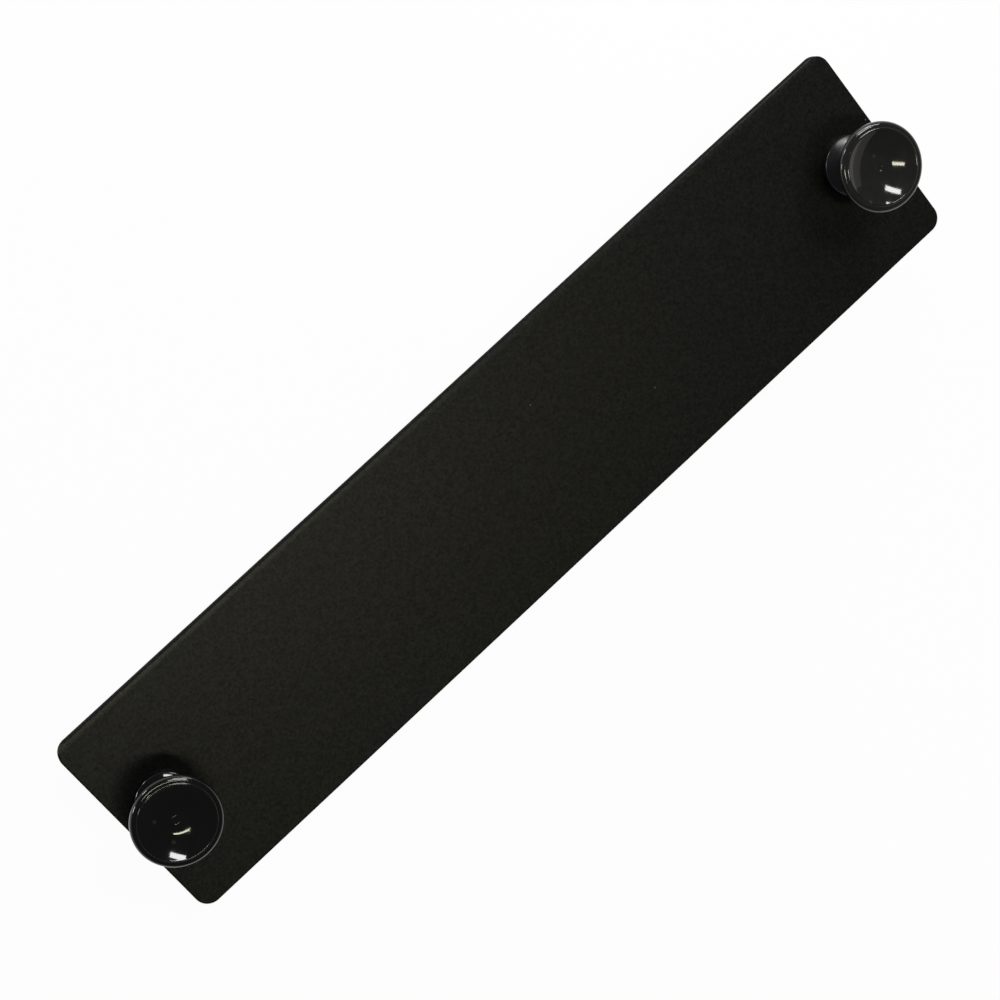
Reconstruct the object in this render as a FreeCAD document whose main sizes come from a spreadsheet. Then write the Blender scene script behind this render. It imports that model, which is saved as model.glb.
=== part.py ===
# Fiber blank adapter panel.
# A coated steel plate closes an unused adapter opening. A push-in latch near each end holds it:
# a split grommet sits in the plate's hole, and a plunger pushed through it locks the legs behind the bracket.
# Lengths are in millimetres. The origin is the middle of the plate's rear face, X runs along the plate
# and Z points out of its front. The plungers are drawn pulled out.

import FreeCAD
import Part
import Sketcher
import os

# Driving dimensions: alias, value and what it measures.
SIZES = (
    ("plate_length", 130.0, "plate, end to end"),
    ("plate_width", 28.6, "plate, edge to edge"),
    ("plate_thickness", 1.2, "coated sheet"),
    ("corner_radius", 2.0, "plate corners, seen from the front"),
    ("edge_break", 0.2, "chamfer of the sheet's edges"),
    ("latch_inset", 5.7, "latch hole's axis from the plate's end"),
    ("hole_diameter", 5.0, "latch hole in the plate"),
    ("hole_clearance", 0.1, "radial, grommet barrel in the hole"),
    ("neck_draft", 0.05, "radial, how far the barrel widens through the plate"),
    ("flange_overhang", 1.45, "radial, grommet flange beyond the hole"),
    ("flange_edge", 0.8, "height of the flange's rim"),
    ("crown_height", 1.8, "height of the grommet's crown above the plate"),
    ("crown_land", 0.6, "radial, flat of the crown round the bore"),
    ("barrel_wall", 0.85, "grommet wall round the bore"),
    ("grip_length", 2.2, "straight barrel behind the plate"),
    ("barb_rise", 0.22, "radial, snap barb over the barrel"),
    ("barb_ramp", 0.4, "length of the barb's holding slope"),
    ("barb_land", 0.4, "length of the barb's crest"),
    ("bore_step", 0.25, "radial, chamber between the legs over the bore"),
    ("step_depth", 0.5, "bore step behind the plate"),
    ("tip_wall", 0.35, "leg wall at the tip"),
    ("tip_inset", 0.5, "radial, how far the legs close inside at the tip"),
    ("tip_length", 0.95, "length of the closing taper"),
    ("tip_chamfer", 0.2, "lead-in at the legs' ends"),
    ("slot_width", 0.7, "gap between the legs"),
    ("slot_setback", 1.3, "start of the slots behind the plate"),
    ("shank_clearance", 0.05, "radial, plunger in the grommet"),
    ("stop_gap", 0.05, "play at each end of the plunger's travel"),
    ("travel", 3.6, "plunger, from pulled out to pushed in"),
    ("bulb_length", 0.95, "straight part of the plunger's bulb"),
    ("nose_length", 0.6, "cone under the bulb"),
    ("nose_inset", 0.95, "radial, how far the cone closes"),
    ("collar_step", 0.6, "radial, collar under the head over the shank"),
    ("collar_height", 0.6, "straight part of the collar"),
    ("head_diameter", 11.4, "plunger head"),
    ("head_length", 3.6, "from the collar's seat to the top of the rim"),
    ("rim_side", 0.25, "straight side of the head's rim"),
    ("rim_round_height", 0.7, "rounded part of the rim above its side"),
    ("rim_round_width", 0.5, "radial, how far the rounded part draws in"),
    ("lip_land", 0.5, "radial, flat between the rounded rim and the dish"),
    ("dish_depth", 1.1, "hollow in the head"),
    ("dish_floor_diameter", 3.0, "flat in the middle of the dish"),
)

# Radii and heights that follow from the driving dimensions. Latch heights count from the plate's front face.
HOLE = "sizes.hole_diameter / 2"
BARREL = f"({HOLE} - sizes.hole_clearance)"
NECK = f"({BARREL} + sizes.neck_draft)"
FLANGE = f"({HOLE} + sizes.flange_overhang)"
BARB = f"({BARREL} + sizes.barb_rise)"
BORE = f"({BARREL} - sizes.barrel_wall)"
CROWN = f"({BORE} + sizes.crown_land)"
CHAMBER = f"({BORE} + sizes.bore_step)"
TIP_OUTER = f"({CHAMBER} + sizes.tip_wall)"
TIP_INNER = f"({CHAMBER} - sizes.tip_inset)"
SHANK = f"({BORE} - sizes.shank_clearance)"
BULB = f"({CHAMBER} - sizes.shank_clearance)"
NOSE = f"({BULB} - sizes.nose_inset)"
COLLAR = f"({SHANK} + sizes.collar_step)"
HEAD = "sizes.head_diameter / 2"
RIM_EDGE = f"({HEAD} - sizes.rim_round_width)"
RIM_RADIUS = "(sizes.rim_round_width^2 + sizes.rim_round_height^2) / (2 * sizes.rim_round_width)"
RIM_CENTRE = f"({HEAD} - {RIM_RADIUS})"
LIP = f"({RIM_EDGE} - sizes.lip_land)"
FLOOR = "sizes.dish_floor_diameter / 2"
HALF_SPACING = "(sizes.plate_length / 2 - sizes.latch_inset)"

REAR = "-sizes.plate_thickness"
GRIP_END = f"({REAR} - sizes.grip_length)"
BARB_TOP = f"({GRIP_END} - sizes.barb_ramp)"
BARB_END = f"({BARB_TOP} - sizes.barb_land)"
STEP = f"({REAR} - sizes.step_depth)"
BULB_TOP = f"({STEP} - sizes.stop_gap)"
BULB_END = f"({BULB_TOP} - sizes.bulb_length)"
NOSE_END = f"({BULB_END} - sizes.nose_length)"
CHAMBER_END = f"({BULB_END} - sizes.travel - sizes.stop_gap)"
TIP = f"({CHAMBER_END} - sizes.tip_length)"
SLOT_TOP = f"({REAR} - sizes.slot_setback)"
SEAT = "(sizes.crown_height + sizes.stop_gap + sizes.travel)"
COLLAR_TOP = f"({SEAT} + sizes.collar_height)"
RIM_TOP = f"({SEAT} + sizes.head_length)"
SIDE_TOP = f"({RIM_TOP} - sizes.rim_round_height)"
UNDERSIDE = f"({SIDE_TOP} - sizes.rim_side)"
DISH_FLOOR = f"({RIM_TOP} - sizes.dish_depth)"

AXIS = "0"
TOLERANCE = 1e-4
FULL_TURN = 360
SLOT_CUTS = 2
SLOT_SPREAD = 90

doc = FreeCAD.newDocument("fiber_blank_adapter_panel")
sheet = doc.addObject("Spreadsheet::Sheet", "sizes")
for row, (alias, value, meaning) in enumerate(SIZES, start=1):
    sheet.set(f"A{row}", meaning)
    sheet.set(f"B{row}", str(value))
    sheet.setAlias(f"B{row}", alias)
doc.recompute()


def new_body(label):
    """Start a sub-part whose label also names its file."""
    body = doc.addObject("PartDesign::Body", label)
    body.Label = label
    return body


def new_sketch(body, name, role):
    """Add a sketch on one of the body's own origin planes."""
    sketch = body.newObject("Sketcher::SketchObject", name)
    plane = next(f for f in body.Origin.OriginFeatures if f.Role == role)
    sketch.AttachmentSupport = [(plane, "")]
    sketch.MapMode = "FlatFace"
    return sketch


def bind(sketch, name, expression, kind, *geometry):
    """Add a dimension to a sketch and tie it to the sheet."""
    value = sketch.evalExpression(expression)
    index = sketch.addConstraint(Sketcher.Constraint(kind, *geometry, value))
    sketch.renameConstraint(index, name)
    sketch.setExpression(f"Constraints.{name}", expression)


def fix_point(sketch, name, across, up, geometry, end):
    """Hold a point at its two coordinates, each an expression, or on an axis where that is zero."""
    for letter, expression, kind, axis in (("x", across, "DistanceX", -2), ("y", up, "DistanceY", -1)):
        if expression == AXIS:
            sketch.addConstraint(Sketcher.Constraint("PointOnObject", geometry, end, axis))
        else:
            bind(sketch, f"{name}_{letter}", expression, kind, -1, 1, geometry, end)


def arc_between(start, end, centre_across):
    """The shorter arc between two points whose centre has the given first coordinate."""
    squares = end.dot(end) - start.dot(start) - 2 * centre_across * (end.x - start.x)
    centre = FreeCAD.Vector(centre_across, squares / (2 * (end.y - start.y)), 0)
    towards = (start + end) * 0.5 - centre
    middle = centre + towards.normalize() * centre.distanceToPoint(start)
    return Part.Arc(start, middle, end)


def draw_profile(sketch, corners):
    """Draw a closed profile. A corner is a name and two coordinates, then a centre if an arc leaves it."""
    points = []
    for name, across, up, *arc in corners:
        points.append(FreeCAD.Vector(sketch.evalExpression(across), sketch.evalExpression(up), 0))
    ends = []
    for index, (name, across, up, *arc) in enumerate(corners):
        start = points[index]
        end = points[(index + 1) % len(points)]
        if arc:
            curve = arc_between(start, end, sketch.evalExpression(arc[0]))
        else:
            curve = Part.LineSegment(start, end)
        geometry = sketch.addGeometry(curve, False)
        forward = sketch.getPoint(geometry, 1).distanceToPoint(start) < TOLERANCE
        ends.append((geometry, 1, 2) if forward else (geometry, 2, 1))
    for index, (name, across, up, *arc) in enumerate(corners):
        geometry, first, _ = ends[index]
        before, _, meeting = ends[index - 1]
        sketch.addConstraint(Sketcher.Constraint("Coincident", before, meeting, geometry, first))
        fix_point(sketch, name, across, up, geometry, first)
        if arc and arc[0] == AXIS:
            sketch.addConstraint(Sketcher.Constraint("PointOnObject", geometry, 3, -2))
        elif arc:
            bind(sketch, f"{name}_centre", arc[0], "DistanceX", -1, 1, geometry, 3)


def draw_rectangle(sketch, across_start, across_end, up_start, up_end):
    """Draw a rectangle whose four sides are expressions."""
    draw_profile(
        sketch,
        (
            ("first", across_start, up_start),
            ("second", across_end, up_start),
            ("third", across_end, up_end),
            ("fourth", across_start, up_end),
        ),
    )


def revolve(body, sketch, name):
    """Turn a profile about the sketch's vertical axis."""
    turned = body.newObject("PartDesign::Revolution", name)
    turned.Profile = sketch
    turned.ReferenceAxis = (sketch, ["V_Axis"])
    turned.Angle = FULL_TURN
    doc.recompute()
    return turned


def cut_through(body, sketch, name):
    """Cut a sketch through the whole body, both ways, and make sure that it took something away."""
    before = body.Shape.Volume
    pocket = body.newObject("PartDesign::Pocket", name)
    pocket.Profile = sketch
    pocket.Type = "ThroughAll"
    pocket.SideType = "Symmetric"
    doc.recompute()
    if body.Shape.Volume >= before:
        raise ValueError(f"{name} cuts nothing")
    return pocket


def dress_edges(body, kind, name, base, edges, measure, expression):
    """Round or bevel the named edges of a feature by a size from the sheet."""
    dressed = body.newObject(f"PartDesign::{kind}", name)
    dressed.Base = (base, edges)
    dressed.setExpression(measure, expression)
    doc.recompute()
    return dressed


def edges_where(feature, test):
    """Names of the edges of a feature's shape that pass a test."""
    return [f"Edge{n}" for n, edge in enumerate(feature.Shape.Edges, start=1) if test(edge)]


def make_plate():
    """The sheet: rounded corners, softened coated edges and two latch holes."""
    body = new_body("blank_plate")
    outline = new_sketch(body, "plate_outline", "XY_Plane")
    half_length = "sizes.plate_length / 2"
    half_width = "sizes.plate_width / 2"
    draw_rectangle(outline, f"-{half_length}", half_length, f"-{half_width}", half_width)
    blank = body.newObject("PartDesign::Pad", "plate_blank")
    blank.Profile = outline
    blank.setExpression("Length", "sizes.plate_thickness")
    doc.recompute()
    upright = edges_where(blank, lambda edge: edge.BoundBox.ZLength > TOLERANCE)
    rounded = dress_edges(body, "Fillet", "plate_corners", blank, upright, "Radius", "sizes.corner_radius")
    level = edges_where(rounded, lambda edge: edge.BoundBox.ZLength < TOLERANCE)
    dress_edges(body, "Chamfer", "plate_edges", rounded, level, "Size", "sizes.edge_break")
    holes = new_sketch(body, "latch_holes", "XY_Plane")
    for name, across in (("left", f"-{HALF_SPACING}"), ("right", HALF_SPACING)):
        centre = FreeCAD.Vector(holes.evalExpression(across), 0, 0)
        circle = Part.Circle(centre, FreeCAD.Vector(0, 0, 1), holes.evalExpression(HOLE))
        geometry = holes.addGeometry(circle, False)
        fix_point(holes, f"{name}_hole", across, AXIS, geometry, 3)
        bind(holes, f"{name}_diameter", "sizes.hole_diameter", "Diameter", geometry)
    cut_through(body, holes, "latch_hole_cuts")
    return body


def make_grommet(side):
    """The snap grommet: a coned flange in front and four barbed legs behind the plate."""
    body = new_body(f"{side}_grommet")
    section = new_sketch(body, f"{side}_grommet_section", "XZ_Plane")
    draw_profile(
        section,
        (
            ("neck", NECK, AXIS),
            ("flange_foot", FLANGE, AXIS),
            ("flange_rim", FLANGE, "sizes.flange_edge"),
            ("crown_rim", CROWN, "sizes.crown_height"),
            ("bore_mouth", BORE, "sizes.crown_height"),
            ("bore_end", BORE, STEP),
            ("chamber_start", CHAMBER, STEP),
            ("chamber_end", CHAMBER, CHAMBER_END),
            ("tip_inside", TIP_INNER, TIP),
            ("tip_outside", f"{TIP_OUTER} - sizes.tip_chamfer", TIP),
            ("tip_side", TIP_OUTER, f"{TIP} + sizes.tip_chamfer"),
            ("barb_end", BARB, BARB_END),
            ("barb_crest", BARB, BARB_TOP),
            ("grip_end", BARREL, GRIP_END),
            ("grip_start", BARREL, REAR),
        ),
    )
    revolve(body, section, f"{side}_grommet_turned")
    slot = new_sketch(body, f"{side}_slot_outline", "XZ_Plane")
    half_slot = "sizes.slot_width / 2"
    draw_rectangle(slot, f"-{half_slot}", half_slot, f"{TIP} - sizes.tip_length", SLOT_TOP)
    cut = cut_through(body, slot, f"{side}_slot")
    slots = body.newObject("PartDesign::PolarPattern", f"{side}_slots")
    slots.Originals = [cut]
    slots.Axis = (section, ["V_Axis"])
    slots.Angle = SLOT_SPREAD
    slots.Occurrences = SLOT_CUTS
    body.Tip = slots
    doc.recompute()
    return body


def make_plunger(side):
    """The plunger: a dished head on a coned neck, a straight shank, and a bulb that stops under the bore."""
    body = new_body(f"{side}_plunger")
    section = new_sketch(body, f"{side}_plunger_section", "XZ_Plane")
    draw_profile(
        section,
        (
            ("nose_middle", AXIS, NOSE_END),
            ("nose_rim", NOSE, NOSE_END),
            ("bulb_end", BULB, BULB_END),
            ("bulb_top", BULB, BULB_TOP),
            ("shank_end", SHANK, BULB_TOP),
            ("shank_top", SHANK, SEAT),
            ("collar_seat", COLLAR, SEAT),
            ("collar_top", COLLAR, COLLAR_TOP),
            ("rim_foot", HEAD, UNDERSIDE),
            ("rim_side", HEAD, SIDE_TOP, RIM_CENTRE),
            ("rim_crest", RIM_EDGE, RIM_TOP),
            ("lip", LIP, RIM_TOP, AXIS),
            ("floor_rim", FLOOR, DISH_FLOOR),
            ("floor_middle", AXIS, DISH_FLOOR),
        ),
    )
    revolve(body, section, f"{side}_plunger_turned")
    return body


def make_latch(side, across):
    """One latch, seated on the plate's front face at its hole."""
    pair = [make_grommet(side), make_plunger(side)]
    for body in pair:
        body.setExpression("Placement.Base.x", across)
        body.setExpression("Placement.Base.z", "sizes.plate_thickness")
    return pair


bodies = [make_plate()]
bodies += make_latch("left", f"-{HALF_SPACING}")
bodies += make_latch("right", HALF_SPACING)
doc.recompute()

for item in doc.Objects:
    if "Invalid" in item.State or "Error" in item.State:
        raise RuntimeError(f"{item.Label} failed: {item.State}")
for body in bodies:
    if body.Shape.isNull() or not body.Shape.isValid():
        raise RuntimeError(f"{body.Label} has no valid shape")

os.makedirs("parts", exist_ok=True)
for body in bodies:
    body.Shape.exportStep(f"parts/{body.Label}.step")
    print(f"{body.Label}: {body.Shape.Volume:.2f} mm3")
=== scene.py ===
"""Studio model of a fiber blank adapter panel: a coated steel plate with a plunger latch near each end."""

import logging
import math
from abc import ABC, abstractmethod
from dataclasses import dataclass
from enum import Enum
from typing import Any

import bmesh
import bpy
from mathutils import Matrix, Vector


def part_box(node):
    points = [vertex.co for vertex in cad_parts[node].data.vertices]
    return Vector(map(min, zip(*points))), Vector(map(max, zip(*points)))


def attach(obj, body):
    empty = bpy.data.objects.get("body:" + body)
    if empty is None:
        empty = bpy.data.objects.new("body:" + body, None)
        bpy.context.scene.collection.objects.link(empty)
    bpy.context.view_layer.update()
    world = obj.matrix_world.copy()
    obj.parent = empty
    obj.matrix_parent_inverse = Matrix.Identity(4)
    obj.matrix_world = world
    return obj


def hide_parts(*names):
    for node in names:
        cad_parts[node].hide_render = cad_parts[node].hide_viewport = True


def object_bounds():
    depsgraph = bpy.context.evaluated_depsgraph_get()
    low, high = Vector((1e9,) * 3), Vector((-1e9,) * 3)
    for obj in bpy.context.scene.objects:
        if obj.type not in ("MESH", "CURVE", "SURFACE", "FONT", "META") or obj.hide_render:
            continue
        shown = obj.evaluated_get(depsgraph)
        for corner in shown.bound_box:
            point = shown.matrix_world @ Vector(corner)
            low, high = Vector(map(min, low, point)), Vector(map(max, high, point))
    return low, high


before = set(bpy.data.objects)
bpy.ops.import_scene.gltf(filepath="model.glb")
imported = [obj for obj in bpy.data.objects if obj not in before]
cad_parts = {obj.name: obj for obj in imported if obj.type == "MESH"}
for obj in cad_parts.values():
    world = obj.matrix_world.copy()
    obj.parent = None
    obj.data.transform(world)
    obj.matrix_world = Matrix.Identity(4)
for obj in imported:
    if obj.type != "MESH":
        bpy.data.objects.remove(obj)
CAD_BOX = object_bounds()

LOG = logging.getLogger("fiber_blank_panel")
METRES_PER_MM = 0.001
MERGE_MM = 0.0005
SHARP_DEGREES = 38.0


class Side(Enum):
    """The two ends of the plate."""

    LEFT = "left"
    RIGHT = "right"


class Slot(Enum):
    """The record's material slots."""

    POWDER_COAT = "powder_coat"
    BLACK_NYLON = "black_nylon"


class Body(Enum):
    """The bodies that pieces ride on."""

    PANEL = "panel"
    LEFT_PLUNGER = "left_latch_plunger"
    RIGHT_PLUNGER = "right_latch_plunger"


def metres(millimetres: float) -> float:
    """Turn millimetres into metres."""
    return millimetres * METRES_PER_MM


def point(x: float, y: float, z: float) -> Vector:
    """Make a point in metres from millimetres."""
    return Vector((x, y, z)) * METRES_PER_MM


def linear(code: str) -> tuple[float, float, float, float]:
    """Turn an sRGB hex colour into linear light.

    Args:
        code: the colour as "#rrggbb".

    Returns:
        Red, green, blue and an alpha of one.
    """
    channels = []
    for start in (1, 3, 5):
        value = int(code[start : start + 2], 16) / 255
        channels.append(value / 12.92 if value <= 0.04045 else ((value + 0.055) / 1.055) ** 2.4)
    return (channels[0], channels[1], channels[2], 1.0)


def per_metre(size_mm: float) -> float:
    """Give the texture scale at which a pattern repeats about once in a size."""
    return 1.0 / metres(size_mm)


def add_node(
    tree: bpy.types.NodeTree,
    kind: str,
    settings: dict[str, Any] | None = None,
    inputs: dict[str | int, Any] | None = None,
) -> bpy.types.Node:
    """Add a shader node with its settings and links.

    Args:
        tree: the node tree that gets the node.
        kind: the node's type, without its common first part.
        settings: the node's own properties, by name.
        inputs: by socket name or number, a plain value or the output that feeds the socket.

    Returns:
        The new node.
    """
    node = tree.nodes.new(f"ShaderNode{kind}")
    for name, value in (settings or {}).items():
        setattr(node, name, value)
    for socket, value in (inputs or {}).items():
        if isinstance(value, bpy.types.NodeSocket):
            tree.links.new(value, node.inputs[socket])
        else:
            node.inputs[socket].default_value = value
    return node


@dataclass(frozen=True)
class Finish(ABC):
    """How a surface looks."""

    name: str

    def material(self) -> bpy.types.Material:
        """Make the finish's material.

        Returns:
            A material whose output is fed by the finish's own nodes.
        """
        made = bpy.data.materials.new(self.name)
        made.use_nodes = True
        made.node_tree.nodes.clear()
        surface = self.surface(made.node_tree)
        add_node(made.node_tree, "OutputMaterial", inputs={"Surface": surface})
        return made

    @abstractmethod
    def surface(self, tree: bpy.types.NodeTree) -> bpy.types.NodeSocket:
        """Add the finish's nodes and give the shader's output."""


@dataclass(frozen=True)
class PowderCoat(Finish):
    """Satin black polyester powder coat, baked on steel sheet.

    The powder melts into a fine even grain over a slow orange peel, so the black stays soft:
    it takes a broad dull sheen towards the light and shows no mirror image.
    """

    name: str = "satin_black_powder_coat"
    dark: str = "#080807"
    light: str = "#0d0d0b"
    dust: str = "#5e5c54"
    grain_mm: float = 0.35
    grain_relief_mm: float = 0.005
    grain_detail: float = 3.0
    grain_detail_strength: float = 0.55
    peel_mm: float = 1.8
    peel_relief_mm: float = 0.006
    peel_detail: float = 1.0
    tone_low: float = 0.3
    tone_high: float = 0.7
    ior: float = 1.5
    roughness_low: float = 0.33
    roughness_high: float = 0.39
    edge_roughness: float = 0.85
    edge_starts: float = 0.9
    edge_full: float = 0.5
    sheen_low: float = 0.14
    sheen_high: float = 0.27
    edge_sheen: float = 0.1
    speck_radius_mm: float = 0.09
    specks_mm: tuple[tuple[float, float], ...] = ((7.1, 5.6), (20.9, -4.0), (64.5, 3.2))

    def surface(self, tree: bpy.types.NodeTree) -> bpy.types.NodeSocket:
        """Add the coat's nodes.

        Args:
            tree: the material's node tree.

        Returns:
            The coat's shader output.
        """
        place = add_node(tree, "TexCoord").outputs["Object"]
        grain = add_node(
            tree,
            "TexNoise",
            inputs={
                "Vector": place,
                "Scale": per_metre(self.grain_mm),
                "Detail": self.grain_detail,
                "Roughness": self.grain_detail_strength,
            },
        ).outputs["Fac"]
        peel = add_node(
            tree,
            "TexNoise",
            inputs={"Vector": place, "Scale": per_metre(self.peel_mm), "Detail": self.peel_detail},
        ).outputs["Fac"]
        tone = add_node(
            tree,
            "MapRange",
            inputs={"Value": grain, "From Min": self.tone_low, "From Max": self.tone_high},
        ).outputs["Result"]
        colour = add_node(
            tree,
            "Mix",
            {"data_type": "RGBA"},
            {"Factor": tone, "A": linear(self.dark), "B": linear(self.light)},
        ).outputs["Result"]
        for across, up in self.specks_mm:
            speck = add_node(
                tree,
                "VectorMath",
                {"operation": "DISTANCE"},
                {0: place, 1: point(across, up, BlankPlate.thickness)},
            ).outputs["Value"]
            inside = add_node(
                tree,
                "Math",
                {"operation": "LESS_THAN"},
                {0: speck, 1: metres(self.speck_radius_mm)},
            ).outputs["Value"]
            colour = add_node(
                tree,
                "Mix",
                {"data_type": "RGBA"},
                {"Factor": inside, "A": colour, "B": linear(self.dust)},
            ).outputs["Result"]
        roughness = add_node(
            tree,
            "MapRange",
            inputs={"Value": grain, "To Min": self.roughness_low, "To Max": self.roughness_high},
        ).outputs["Result"]
        normal = add_node(tree, "TexCoord").outputs["Normal"]
        facing = add_node(tree, "SeparateXYZ", inputs={0: normal}).outputs["Z"]
        level = add_node(tree, "Math", {"operation": "ABSOLUTE"}, {0: facing}).outputs["Value"]
        edge = add_node(
            tree,
            "MapRange",
            inputs={"Value": level, "From Min": self.edge_starts, "From Max": self.edge_full},
        ).outputs["Result"]
        roughness = add_node(
            tree,
            "Mix",
            {"data_type": "FLOAT"},
            {"Factor": edge, "A": roughness, "B": self.edge_roughness},
        ).outputs["Result"]
        sheen = add_node(
            tree,
            "MapRange",
            inputs={"Value": tone, "To Min": self.sheen_low, "To Max": self.sheen_high},
        ).outputs["Result"]
        sheen = add_node(
            tree,
            "Mix",
            {"data_type": "FLOAT"},
            {"Factor": edge, "A": sheen, "B": self.edge_sheen},
        ).outputs["Result"]
        waves = add_node(
            tree,
            "Bump",
            inputs={"Height": peel, "Strength": 1.0, "Distance": metres(self.peel_relief_mm)},
        ).outputs["Normal"]
        relief = add_node(
            tree,
            "Bump",
            inputs={
                "Height": grain,
                "Strength": 1.0,
                "Distance": metres(self.grain_relief_mm),
                "Normal": waves,
            },
        ).outputs["Normal"]
        return add_node(
            tree,
            "BsdfPrincipled",
            inputs={
                "Base Color": colour,
                "Roughness": roughness,
                "IOR": self.ior,
                "Specular IOR Level": sheen,
                "Normal": relief,
            },
        ).outputs["BSDF"]


@dataclass(frozen=True)
class GlossNylon(Finish):
    """Black polyamide, injection moulded against polished steel.

    The skin is deep black with a crisp wet gloss. Handling leaves a faint haze in the gloss, and the moulding
    a slight waviness that bends the reflections. A few small spots on the head are painted lighter.
    """

    name: str = "glossy_black_nylon"
    dark: str = "#070707"
    light: str = "#0b0b0b"
    haze_mm: float = 1.6
    haze_detail: float = 5.0
    haze_detail_strength: float = 0.6
    haze_low: float = 0.35
    haze_high: float = 0.75
    wave_mm: float = 3.0
    wave_relief_mm: float = 0.002
    wave_detail: float = 1.0
    ior: float = 1.53
    roughness_low: float = 0.05
    roughness_high: float = 0.12
    pale_spot: str = "#2e2e2c"
    pale_spot_radius_mm: float = 0.34
    pale_spots_mm: tuple[tuple[float, float, float], ...] = ((-61.26, 1.79, 9.4), (-61.28, -1.74, 9.4))

    def surface(self, tree: bpy.types.NodeTree) -> bpy.types.NodeSocket:
        """Add the plastic's nodes.

        Args:
            tree: the material's node tree.

        Returns:
            The plastic's shader output.
        """
        place = add_node(tree, "TexCoord").outputs["Object"]
        haze = add_node(
            tree,
            "TexNoise",
            inputs={
                "Vector": place,
                "Scale": per_metre(self.haze_mm),
                "Detail": self.haze_detail,
                "Roughness": self.haze_detail_strength,
            },
        ).outputs["Fac"]
        wave = add_node(
            tree,
            "TexNoise",
            inputs={"Vector": place, "Scale": per_metre(self.wave_mm), "Detail": self.wave_detail},
        ).outputs["Fac"]
        colour = add_node(
            tree,
            "Mix",
            {"data_type": "RGBA"},
            {"Factor": haze, "A": linear(self.dark), "B": linear(self.light)},
        ).outputs["Result"]
        # Lighter spots painted on the head, each fading out over its radius
        for spot in self.pale_spots_mm:
            away = add_node(
                tree,
                "VectorMath",
                {"operation": "DISTANCE"},
                {0: place, 1: point(*spot)},
            ).outputs["Value"]
            cover = add_node(
                tree,
                "MapRange",
                inputs={"Value": away, "From Min": metres(self.pale_spot_radius_mm), "From Max": 0.0},
            ).outputs["Result"]
            colour = add_node(
                tree,
                "Mix",
                {"data_type": "RGBA"},
                {"Factor": cover, "A": colour, "B": linear(self.pale_spot)},
            ).outputs["Result"]
        roughness = add_node(
            tree,
            "MapRange",
            inputs={
                "Value": haze,
                "From Min": self.haze_low,
                "From Max": self.haze_high,
                "To Min": self.roughness_low,
                "To Max": self.roughness_high,
            },
        ).outputs["Result"]
        relief = add_node(
            tree,
            "Bump",
            inputs={"Height": wave, "Strength": 1.0, "Distance": metres(self.wave_relief_mm)},
        ).outputs["Normal"]
        return add_node(
            tree,
            "BsdfPrincipled",
            inputs={"Base Color": colour, "Roughness": roughness, "IOR": self.ior, "Normal": relief},
        ).outputs["BSDF"]


@dataclass(frozen=True)
class LitCopyNylon(GlossNylon):
    """A lit copy of the same nylon, still glossy: its lighter base colour is painted light, for the brighter
    light in the right plunger's dish.
    """

    name: str = "lit_copy_black_nylon"
    # Painted light: base colours lighter than the plain nylon, a lit copy for the right plunger
    dark: str = "#151515"
    light: str = "#232322"
    pale_spot: str = "#363634"
    pale_spots_mm: tuple[tuple[float, float, float], ...] = ((59.55, 1.54, 9.16), (55.31, -2.3, 10.2))


@dataclass(frozen=True)
class SatinLitCopyNylon(GlossNylon):
    """The same nylon from a plain, unpolished tool: its highlights spread into soft wedges. Its lighter base
    colour is painted light, a lit copy for the right grommet's flange.
    """

    name: str = "satin_lit_copy_black_nylon"
    # Painted light: base colours lighter than the plain nylon, for the light on the right grommet's flange
    dark: str = "#101010"
    light: str = "#191918"
    roughness_low: float = 0.22
    roughness_high: float = 0.32
    pale_spots_mm: tuple[tuple[float, float, float], ...] = ()


@dataclass(frozen=True)
class PaperFloor(Finish):
    """Matt white background paper, which stays white to the eye and still takes a soft shadow."""

    name: str = "white_background_paper"
    paper: str = "#f4f4f2"
    glow: float = 0.96

    def surface(self, tree: bpy.types.NodeTree) -> bpy.types.NodeSocket:
        """Add the paper's nodes.

        Args:
            tree: the material's node tree.

        Returns:
            The paper's shader output.
        """
        path = add_node(tree, "LightPath").outputs
        seen = path["Is Camera Ray"]
        for other in ("Is Glossy Ray", "Is Transmission Ray"):
            seen = add_node(tree, "Math", {"operation": "MAXIMUM"}, {0: seen, 1: path[other]}).outputs["Value"]
        share = add_node(tree, "Math", {"operation": "MULTIPLY"}, {0: seen, 1: self.glow}).outputs["Value"]
        matt = add_node(tree, "BsdfDiffuse", inputs={"Color": linear(self.paper)}).outputs["BSDF"]
        white = add_node(tree, "Emission", inputs={"Strength": 1.0}).outputs["Emission"]
        return add_node(tree, "MixShader", inputs={0: share, 1: matt, 2: white}).outputs["Shader"]


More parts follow.
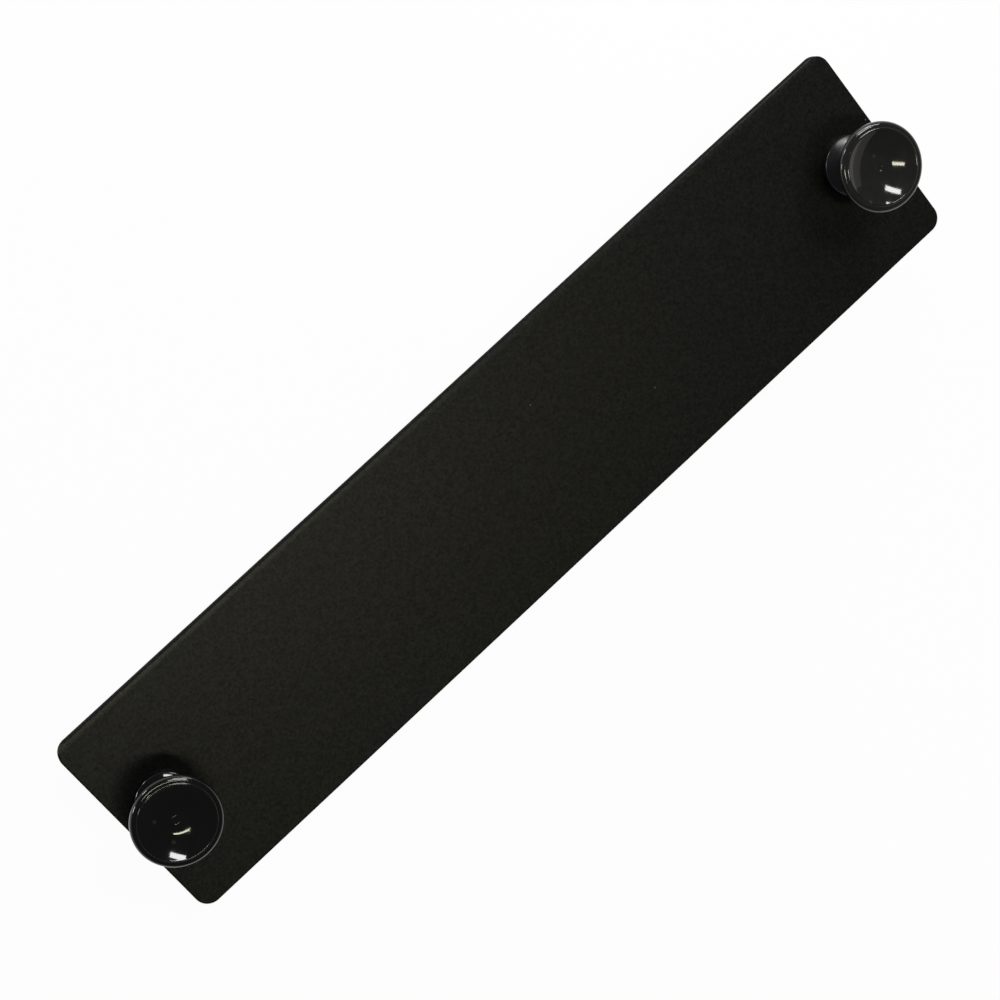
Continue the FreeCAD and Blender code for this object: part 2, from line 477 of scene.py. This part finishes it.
class Section:
    """A half section drawn beside an upright axis, which is then turned into a solid."""

    def __init__(self, axis: Vector) -> None:
        """Start an empty section.

        Args:
            axis: the foot of the axis, from which radii and heights count.
        """
        self.axis = axis
        self.bm = bmesh.new()
        self.tip: bmesh.types.BMVert | None = None
        self.rounded: list[tuple[bmesh.types.BMVert, float]] = []

    def at(self, radius: float, height: float) -> Vector:
        """Give the place of a radius and a height in millimetres."""
        return self.axis + point(radius, 0.0, height)

    def start(self, radius: float, height: float) -> None:
        """Put down the section's first point."""
        self.tip = self.bm.verts.new(self.at(radius, height))

    def line(self, radius: float, height: float, soften: float = 0.0) -> None:
        """Draw a straight run.

        Args:
            radius: the run's end, from the axis.
            height: the run's end, along the axis.
            soften: how far from the end point its rounding starts.
        """
        self.tip = bmesh.ops.extrude_vert_indiv(self.bm, verts=[self.tip])["verts"][0]
        self.tip.co = self.at(radius, height)
        if soften:
            self.rounded.append((self.tip, soften))

    def arc(
        self, radius: float, height: float, centre: tuple[float, float], steps: int, soften: float = 0.0
    ) -> None:
        """Draw an arc.

        Args:
            radius: the arc's end, from the axis.
            height: the arc's end, along the axis.
            centre: the radius and height of the arc's centre.
            steps: the number of straight pieces.
            soften: how far from the end point its rounding starts.
        """
        middle = self.at(*centre)
        here = self.tip.co - middle
        there = self.at(radius, height) - middle
        turn = math.atan2(there.z, there.x) - math.atan2(here.z, here.x)
        turn = math.remainder(turn, math.tau)
        swept = bmesh.ops.spin(
            self.bm,
            geom=[self.tip],
            cent=middle,
            axis=(0.0, 1.0, 0.0),
            angle=-turn,
            steps=steps,
            use_merge=False,
        )
        self.tip = swept["geom_last"][0]
        self.tip.co = self.at(radius, height)
        if soften:
            self.rounded.append((self.tip, soften))

    def close(self, start: bmesh.types.BMVert) -> None:
        """Join the last point to the first."""
        self.bm.edges.new((self.tip, start))

    def turn(self, steps: int, segments: int) -> bmesh.types.BMesh:
        """Round the softened corners and turn the section about its axis.

        Args:
            steps: the number of pieces round the axis.
            segments: the number of pieces in each rounded corner.

        Returns:
            The turned solid, closed and facing outwards.
        """
        for corner, soften in self.rounded:
            bmesh.ops.bevel(
                self.bm,
                geom=[corner],
                offset=metres(soften),
                offset_type="OFFSET",
                segments=segments,
                profile=0.5,
                affect="VERTICES",
                material=-1,
            )
        bmesh.ops.spin(
            self.bm,
            geom=self.bm.verts[:] + self.bm.edges[:],
            cent=self.axis,
            axis=(0.0, 0.0, 1.0),
            angle=math.tau,
            steps=steps,
            use_merge=True,
        )
        bmesh.ops.remove_doubles(self.bm, verts=self.bm.verts[:], dist=metres(MERGE_MM))
        bmesh.ops.recalc_face_normals(self.bm, faces=self.bm.faces[:])
        return self.bm


def new_object(name: str, bm: bmesh.types.BMesh) -> bpy.types.Object:
    """Turn a bmesh into an object of the scene.

    Args:
        name: the object's name.
        bm: the mesh, which is freed.

    Returns:
        The object, at the origin.
    """
    mesh = bpy.data.meshes.new(name)
    bm.to_mesh(mesh)
    bm.free()
    made = bpy.data.objects.new(name, mesh)
    bpy.context.scene.collection.objects.link(made)
    return made


def seat_piece(
    piece: bpy.types.Object, finish: bpy.types.Material, body: Body, node: str
) -> bpy.types.Object:
    """Smooth a finished piece, dress it and put it in its node's place.

    Args:
        piece: the piece, built where it belongs.
        finish: the material it wears.
        body: the body that it moves with.
        node: the CAD node that it stands for.

    Returns:
        The piece.
    """
    mesh = piece.data
    mesh.shade_smooth()
    mesh.set_sharp_from_angle(angle=math.radians(SHARP_DEGREES))
    mesh.materials.clear()
    mesh.materials.append(finish)
    evened = piece.modifiers.new("even_normals", "WEIGHTED_NORMAL")
    evened.keep_sharp = True
    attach(piece, body.value)
    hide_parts(node)
    LOG.info("%s: %d faces, rides on %s", piece.name, len(mesh.polygons), body.value)
    return piece


@dataclass
class BlankPlate:
    """The coated sheet that closes the opening. Sizes are in millimetres."""

    length: float = 130.0
    width: float = 28.6
    thickness: float = 1.2
    corner_radius: float = 2.0
    edge_round: float = 0.18
    roll_width: float = 0.9
    roll_drop: float = 0.08
    roll_steps: int = 3
    hole_radius: float = 2.5
    hole_reach: float = 3.0
    corner_segments: int = 14
    edge_segments: int = 5
    hole_segments: int = 72

    def build(self, axes: dict[Side, float]) -> bmesh.types.BMesh:
        """Cut the sheet, punch its holes and soften its edges.

        Args:
            axes: where each latch's axis stands along the plate, in metres.

        Returns:
            The plate's mesh.
        """
        bm = bmesh.new()
        size = Matrix.Diagonal((metres(self.length), metres(self.width), 1.0, 1.0))
        bmesh.ops.create_grid(bm, x_segments=1, y_segments=1, size=0.5, matrix=size)
        bmesh.ops.bevel(
            bm,
            geom=bm.verts[:],
            offset=metres(self.corner_radius),
            offset_type="OFFSET",
            segments=self.corner_segments,
            profile=0.5,
            affect="VERTICES",
            material=-1,
        )
        for _ in range(self.roll_steps):
            middle = max(bm.faces, key=lambda face: face.calc_area())
            bmesh.ops.inset_region(
                bm,
                faces=[middle],
                thickness=metres(self.roll_width / self.roll_steps),
                use_even_offset=True,
                use_boundary=True,
            )
        middle = max(bm.faces, key=lambda face: face.calc_area())
        loops = middle.edges[:]
        bmesh.ops.delete(bm, geom=[middle], context="FACES_ONLY")
        for axis in axes.values():
            circle = bmesh.ops.create_circle(
                bm,
                segments=self.hole_segments,
                radius=metres(self.hole_radius),
                matrix=Matrix.Translation((axis, 0.0, 0.0)),
            )
            loops += {edge for vert in circle["verts"] for edge in vert.link_edges}
        bmesh.ops.triangle_fill(bm, use_beauty=True, edges=loops)
        bmesh.ops.recalc_face_normals(bm, faces=bm.faces[:])
        sheet = bmesh.ops.extrude_face_region(bm, geom=bm.faces[:])["geom"]
        raised = [item for item in sheet if isinstance(item, bmesh.types.BMVert)]
        bmesh.ops.translate(bm, verts=raised, vec=point(0.0, 0.0, self.thickness))
        bmesh.ops.recalc_face_normals(bm, faces=bm.faces[:])
        self.roll_front(bm)
        self.soften_edges(bm, axes)
        return bm

    def roll_front(self, bm: bmesh.types.BMesh) -> None:
        """Let the front droop a little towards one long edge, as the shear leaves it.

        Args:
            bm: the plate's mesh.
        """
        for vert in bm.verts:
            depth = (metres(self.width) / 2 - vert.co.y) / metres(self.roll_width)
            if vert.co.z > metres(self.thickness) / 2 and depth < 1.0:
                vert.co.z -= metres(self.roll_drop) * (1.0 - depth) ** 2

    def soften_edges(self, bm: bmesh.types.BMesh, axes: dict[Side, float]) -> None:
        """Round the outer edges, where the coat flows over the sheet's cut.

        Args:
            bm: the plate's mesh.
            axes: where each latch's axis stands along the plate, in metres.
        """
        reach = metres(self.hole_reach)
        outer = []
        for edge in bm.edges:
            middle = (edge.verts[0].co + edge.verts[1].co) / 2
            in_hole = any(math.hypot(middle.x - axis, middle.y) < reach for axis in axes.values())
            level = abs(edge.verts[0].co.z - edge.verts[1].co.z) < metres(MERGE_MM)
            sharp = edge.calc_face_angle(0.0) > math.radians(SHARP_DEGREES)
            if level and sharp and not in_hole:
                outer.append(edge)
        bmesh.ops.bevel(
            bm,
            geom=outer,
            offset=metres(self.edge_round),
            offset_type="OFFSET",
            segments=self.edge_segments,
            profile=0.5,
            affect="EDGES",
            material=-1,
        )


@dataclass
class SnapGrommet:
    """The split grommet in the plate's hole. Heights count from the plate's front face, in millimetres."""

    neck: float = 2.45
    flange: float = 3.95
    flange_edge: float = 0.8
    crown: float = 2.15
    crown_height: float = 1.8
    flange_bulge: float = 0.12
    bore: float = 1.55
    barrel: float = 2.4
    barb: float = 2.62
    chamber: float = 1.8
    tip_inner: float = 1.3
    tip_outer: float = 2.15
    tip_chamfer: float = 0.2
    rear: float = -1.2
    step: float = -1.7
    slot_top: float = -2.5
    grip_end: float = -3.4
    barb_top: float = -3.8
    barb_end: float = -4.2
    chamber_end: float = -6.35
    tip: float = -7.3
    slot_width: float = 0.7
    seat_soft: float = 0.06
    flange_soft: float = 0.1
    mouth_soft: float = 0.12
    tip_soft: float = 0.08
    barb_soft: float = 0.1
    dome_steps: int = 10
    soft_segments: int = 3
    turn_steps: int = 128

    def build(self, name: str, foot: Vector) -> bpy.types.Object:
        """Turn the grommet and split its legs.

        Args:
            name: the piece's name.
            foot: the axis where it meets the plate's front face.

        Returns:
            The grommet's object.
        """
        run = self.flange - self.crown
        rise = self.crown_height - self.flange_edge
        slant = math.hypot(run, rise)
        flange_radius = (slant**2 / 4 + self.flange_bulge**2) / (2 * self.flange_bulge)
        inward = flange_radius - self.flange_bulge
        flange_centre = (
            (self.flange + self.crown) / 2 - inward * rise / slant,
            (self.flange_edge + self.crown_height) / 2 - inward * run / slant,
        )
        section = Section(foot)
        section.start(self.neck, 0.0)
        first = section.tip
        section.line(self.flange, 0.0, self.seat_soft)
        section.line(self.flange, self.flange_edge, self.flange_soft)
        section.arc(self.crown, self.crown_height, flange_centre, self.dome_steps, self.flange_soft)
        section.line(self.bore, self.crown_height, self.mouth_soft)
        section.line(self.bore, self.step)
        section.line(self.chamber, self.step)
        section.line(self.chamber, self.chamber_end)
        section.line(self.tip_inner, self.tip, self.tip_soft)
        section.line(self.tip_outer - self.tip_chamfer, self.tip, self.tip_soft)
        section.line(self.tip_outer, self.tip + self.tip_chamfer, self.tip_soft)
        section.line(self.barb, self.barb_end, self.barb_soft)
        section.line(self.barb, self.barb_top, self.barb_soft)
        section.line(self.barrel, self.grip_end, self.tip_soft)
        section.line(self.barrel, self.rear)
        section.close(first)
        grommet = new_object(name, section.turn(self.turn_steps, self.soft_segments))
        for quarter in (0.0, math.pi / 2):
            self.split(grommet, foot, quarter)
        return grommet

    def split(self, grommet: bpy.types.Object, foot: Vector, angle: float) -> None:
        """Cut one slot across the legs.

        Args:
            grommet: the turned grommet.
            foot: the axis where it meets the plate's front face.
            angle: the slot's direction about the axis.
        """
        height = 2 * (self.slot_top - self.tip)
        middle = foot + point(0.0, 0.0, self.slot_top - height / 2)
        size = point(4 * self.barb, self.slot_width, height)
        place = Matrix.Translation(middle) @ Matrix.Rotation(angle, 4, "Z") @ Matrix.Diagonal((*size, 1.0))
        bm = bmesh.new()
        bmesh.ops.create_cube(bm, size=1.0, matrix=place)
        cutter = new_object("slot_cutter", bm)
        cut = grommet.modifiers.new("slot", "BOOLEAN")
        cut.operation = "DIFFERENCE"
        cut.solver = "EXACT"
        cut.object = cutter
        depsgraph = bpy.context.evaluated_depsgraph_get()
        mesh = bpy.data.meshes.new_from_object(grommet.evaluated_get(depsgraph))
        grommet.modifiers.remove(cut)
        spare = grommet.data
        grommet.data = mesh
        mesh.name = grommet.name
        bpy.data.meshes.remove(spare)
        bpy.data.objects.remove(cutter)


@dataclass
class DishedPlunger:
    """The plunger of one latch, pulled out. Heights count from the plate's front face, in millimetres."""

    nose: float = 0.8
    nose_end: float = -3.3
    bulb: float = 1.75
    bulb_end: float = -2.7
    bulb_top: float = -1.75
    shank: float = 1.5
    seat: float = 5.45
    collar: float = 2.1
    collar_top: float = 6.05
    head: float = 5.697
    underside: float = 8.1
    side_top: float = 8.35
    rim_edge: float = 5.2
    land: float = 8.96
    rim_top: float = 9.05
    lip: float = 4.7
    lip_round: float = 0.22
    floor: float = 1.5
    floor_height: float = 7.95
    floor_blend: float = 4.5
    gate: float = 0.55
    gate_depth: float = 0.03
    nose_soft: float = 0.15
    bulb_soft: float = 0.06
    collar_soft: float = 0.1
    throat_soft: float = 0.3
    edge_soft: float = 0.09
    land_soft: float = 0.05
    gate_soft: float = 0.06
    gate_foot_soft: float = 0.04
    rim_steps: int = 14
    lip_steps: int = 18
    dish_steps: int = 24
    blend_steps: int = 10
    soft_segments: int = 5
    turn_steps: int = 256

    def build(self, name: str, foot: Vector) -> bpy.types.Object:
        """Turn the plunger.

        Args:
            name: the piece's name.
            foot: the axis where it meets the plate's front face.

        Returns:
            The plunger's object.
        """
        width = self.head - self.rim_edge
        height = self.land - self.side_top
        rim_radius = (width**2 + height**2) / (2 * width)
        drop = self.rim_top - self.floor_height
        dish_centre = (self.lip**2 - self.floor**2 + self.rim_top**2 - self.floor_height**2) / (2 * drop)
        section = Section(foot)
        section.start(0.0, self.nose_end)
        section.line(self.nose, self.nose_end, self.nose_soft)
        section.line(self.bulb, self.bulb_end, self.nose_soft)
        section.line(self.bulb, self.bulb_top, self.bulb_soft)
        section.line(self.shank, self.bulb_top)
        section.line(self.shank, self.seat)
        section.line(self.collar, self.seat, self.collar_soft)
        section.line(self.collar, self.collar_top, self.throat_soft)
        section.line(self.head, self.underside, self.edge_soft)
        section.line(self.head, self.side_top)
        rim_centre = (self.head - rim_radius, self.side_top)
        section.arc(self.rim_edge, self.land, rim_centre, self.rim_steps, self.land_soft)
        dish_radius = math.hypot(self.floor, dish_centre - self.floor_height)
        lip_centre = self.rim_top - self.lip_round
        outside = dish_radius + self.lip_round
        crest = math.sqrt(outside**2 - (dish_centre - lip_centre) ** 2)
        section.line(crest + math.sqrt(self.lip_round**2 - (self.land - lip_centre) ** 2), self.land)
        lip_foot = dish_centre - (dish_centre - lip_centre) * dish_radius / outside
        section.arc(crest * dish_radius / outside, lip_foot, (crest, lip_centre), self.lip_steps)
        reach = dish_radius - self.floor_blend
        blend_centre = self.floor_height + self.floor_blend
        blend_foot = math.sqrt(reach**2 - (dish_centre - blend_centre) ** 2)
        blend_top = dish_centre - (dish_centre - blend_centre) * dish_radius / reach
        section.arc(blend_foot * dish_radius / reach, blend_top, (0.0, dish_centre), self.dish_steps)
        section.arc(blend_foot, self.floor_height, (blend_foot, blend_centre), self.blend_steps)
        section.line(self.gate, self.floor_height, self.gate_soft)
        section.line(self.gate - self.gate_depth, self.floor_height - self.gate_depth, self.gate_foot_soft)
        section.line(0.0, self.floor_height - self.gate_depth)
        return new_object(name, section.turn(self.turn_steps, self.soft_segments))


@dataclass
class Latch:
    """A grommet and its plunger at one end of the plate."""

    side: Side
    grommet: SnapGrommet
    plunger: DishedPlunger

    def axis(self) -> float:
        """Give the place of the latch's axis along the plate, in metres."""
        low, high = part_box(f"{self.side.value}_grommet")
        return (low.x + high.x) / 2

    def build(self, front: float, socket_finish: bpy.types.Material, pin_finish: bpy.types.Material) -> None:
        """Make the latch's two pieces.

        Args:
            front: the height of the plate's front face, in metres.
            socket_finish: the grommet's material.
            pin_finish: the plunger's material.
        """
        word = self.side.value
        foot = Vector((self.axis(), 0.0, front))
        body = Body.LEFT_PLUNGER if self.side is Side.LEFT else Body.RIGHT_PLUNGER
        socket = self.grommet.build(f"{word}_snap_grommet", foot)
        seat_piece(socket, socket_finish, Body.PANEL, f"{word}_grommet")
        pin = self.plunger.build(f"{word}_dished_plunger", foot)
        seat_piece(pin, pin_finish, body, f"{word}_plunger")


@dataclass(frozen=True)
class SoftBox:
    """A flat lamp. Places and sizes are in millimetres, and a level of one is the brightness of white paper."""

    name: str
    place: tuple[float, float, float]
    along: tuple[float, float, float]
    width: float
    height: float
    level: float
    tint: str = "#ffffff"

    def light(self) -> None:
        """Hang the lamp, facing the middle of the plate."""
        lamp = bpy.data.lights.new(self.name, "AREA")
        lamp.shape = "RECTANGLE"
        lamp.size = metres(self.width)
        lamp.size_y = metres(self.height)
        lamp.energy = math.pi * lamp.size * lamp.size_y * self.level
        lamp.color = linear(self.tint)[:3]
        back = Vector(self.place).normalized()
        right = Vector(self.along)
        right = (right - back * right.dot(back)).normalized()
        up = back.cross(right)
        turned = Matrix((right, up, back)).transposed().to_4x4()
        hung = bpy.data.objects.new(self.name, lamp)
        hung.matrix_world = Matrix.Translation(point(*self.place)) @ turned
        hung.visible_camera = False
        bpy.context.scene.collection.objects.link(hung)


@dataclass
class Studio:
    """The floor, the light and the camera. Places and sizes are in millimetres."""

    floor_radius: float = 3000.0
    floor_segments: int = 64
    wall_height: float = 800.0
    wall_paper: str = "#b8b8b6"
    wall_glow: float = 0.4
    camera_place: tuple[float, float, float] = (-37.597, 91.786, 271.054)
    camera_forward: tuple[float, float, float] = (0.118323, -0.322555, -0.939126)
    camera_up: tuple[float, float, float] = (0.675424, 0.719416, -0.161994)
    lens: float = 82.263
    sensor: float = 36.0
    sees_from: float = 10.0
    sees_to: float = 10000.0
    room: str = "#545454"
    lamps: tuple[SoftBox, ...] = (
        # A window high on the right, and a bar overhead whose warm light is the plate's broad sheen
        SoftBox("side_box", (976.0, 665.0, 1808.0), (0.7, -0.7, 0.45), 840.0, 280.0, 19.0),
        SoftBox("top_bar", (-90.0, -108.0, 1800.0), (0.73, -0.65, 0.0), 660.0, 135.0, 18.0, "#fffce0"),
        # A strip below the window, which catches the lips of the heads
        SoftBox("side_strip", (930.0, 660.0, 770.0), (0.58, -0.81, 0.0), 500.0, 170.0, 18.0),
        # Two low boxes behind, which draw the arcs along the rims
        SoftBox("rear_box", (-136.0, 486.0, 97.0), (1.0, 0.0, 0.0), 80.0, 60.0, 20.0),
        SoftBox("left_box", (-382.0, 372.0, 97.0), (1.0, 0.8, 0.0), 90.0, 70.0, 20.0, "#e2eaff"),
        # Two cards near the right end: a wedge on its flange, and a pale crescent in its dish
        SoftBox("end_card", (101.0, 70.0, 46.0), (0.85, -0.53, 0.0), 45.0, 35.0, 6.0),
        SoftBox("near_card", (79.0, -85.0, 26.0), (0.8, 0.6, 0.0), 155.0, 54.0, 0.3, "#fbf6e6"),
    )

    def build(self, floor_height: float) -> None:
        """Set the stage.

        Args:
            floor_height: the height of the floor, in metres.
        """
        self.lay_floor(floor_height)
        self.raise_wall(floor_height)
        self.hang_lights()
        self.fill_room()
        self.place_camera()
        bpy.context.scene.view_settings.view_transform = "Standard"

    def lay_floor(self, height: float) -> None:
        """Lay the paper under the object.

        Args:
            height: the height of the floor, in metres.
        """
        bm = bmesh.new()
        place = Matrix.Translation((0.0, 0.0, height))
        bmesh.ops.create_circle(
            bm, cap_ends=True, segments=self.floor_segments, radius=metres(self.floor_radius), matrix=place
        )
        floor = new_object("paper_floor", bm)
        floor.data.materials.append(PaperFloor().material())

    def raise_wall(self, height: float) -> None:
        """Stand a pale grey wall round the floor.

        Args:
            height: the height of the floor, in metres.
        """
        bm = bmesh.new()
        place = Matrix.Translation((0.0, 0.0, height))
        foot = bmesh.ops.create_circle(
            bm, segments=self.floor_segments, radius=metres(self.floor_radius), matrix=place
        )
        ring = {edge for vert in foot["verts"] for edge in vert.link_edges}
        raised = bmesh.ops.extrude_edge_only(bm, edges=list(ring))["geom"]
        tops = [item for item in raised if isinstance(item, bmesh.types.BMVert)]
        bmesh.ops.translate(bm, verts=tops, vec=point(0.0, 0.0, self.wall_height))
        wall = new_object("paper_wall", bm)
        paper = PaperFloor("grey_background_paper", self.wall_paper, self.wall_glow)
        wall.data.materials.append(paper.material())

    def hang_lights(self) -> None:
        """Hang the lamps."""
        for lamp in self.lamps:
            lamp.light()

    def fill_room(self) -> None:
        """Fill the room round the floor with a dim even light."""
        world = bpy.data.worlds.new("studio_room")
        world.use_nodes = True
        tree = world.node_tree
        tree.nodes.clear()
        room = add_node(tree, "Background", inputs={"Color": linear(self.room), "Strength": 1.0})
        add_node(tree, "OutputWorld", inputs={"Surface": room.outputs["Background"]})
        bpy.context.scene.world = world

    def place_camera(self) -> None:
        """Stand the camera at the photograph's viewpoint."""
        lens = bpy.data.cameras.new("studio_camera")
        lens.lens = self.lens
        lens.sensor_width = self.sensor
        lens.clip_start = metres(self.sees_from)
        lens.clip_end = metres(self.sees_to)
        back = -Vector(self.camera_forward).normalized()
        up = Vector(self.camera_up).normalized()
        turned = Matrix((up.cross(back), up, back)).transposed().to_4x4()
        camera = bpy.data.objects.new("studio_camera", lens)
        camera.matrix_world = Matrix.Translation(point(*self.camera_place)) @ turned
        bpy.context.scene.collection.objects.link(camera)
        bpy.context.scene.camera = camera


def main() -> None:
    """Build the panel's pieces and the studio."""
    logging.basicConfig(level=logging.INFO, format="%(message)s")
    coat = PowderCoat().material()
    gloss = GlossNylon().material()
    # Painted light: the right end's grommet and plunger wear lighter lit copies of the nylon, while the left
    # end's pieces wear the plain dark gloss
    grommets = {Side.LEFT: gloss, Side.RIGHT: SatinLitCopyNylon().material()}
    plungers = {Side.LEFT: gloss, Side.RIGHT: LitCopyNylon().material()}
    plate = BlankPlate()
    latches = [Latch(side, SnapGrommet(), DishedPlunger()) for side in Side]
    axes = {latch.side: latch.axis() for latch in latches}
    sheet = new_object("coated_plate", plate.build(axes))
    seat_piece(sheet, coat, Body.PANEL, "blank_plate")
    for latch in latches:
        latch.build(metres(plate.thickness), grommets[latch.side], plungers[latch.side])
    Studio().build(CAD_BOX[0].z)


if __name__ == "__main__":
    main()
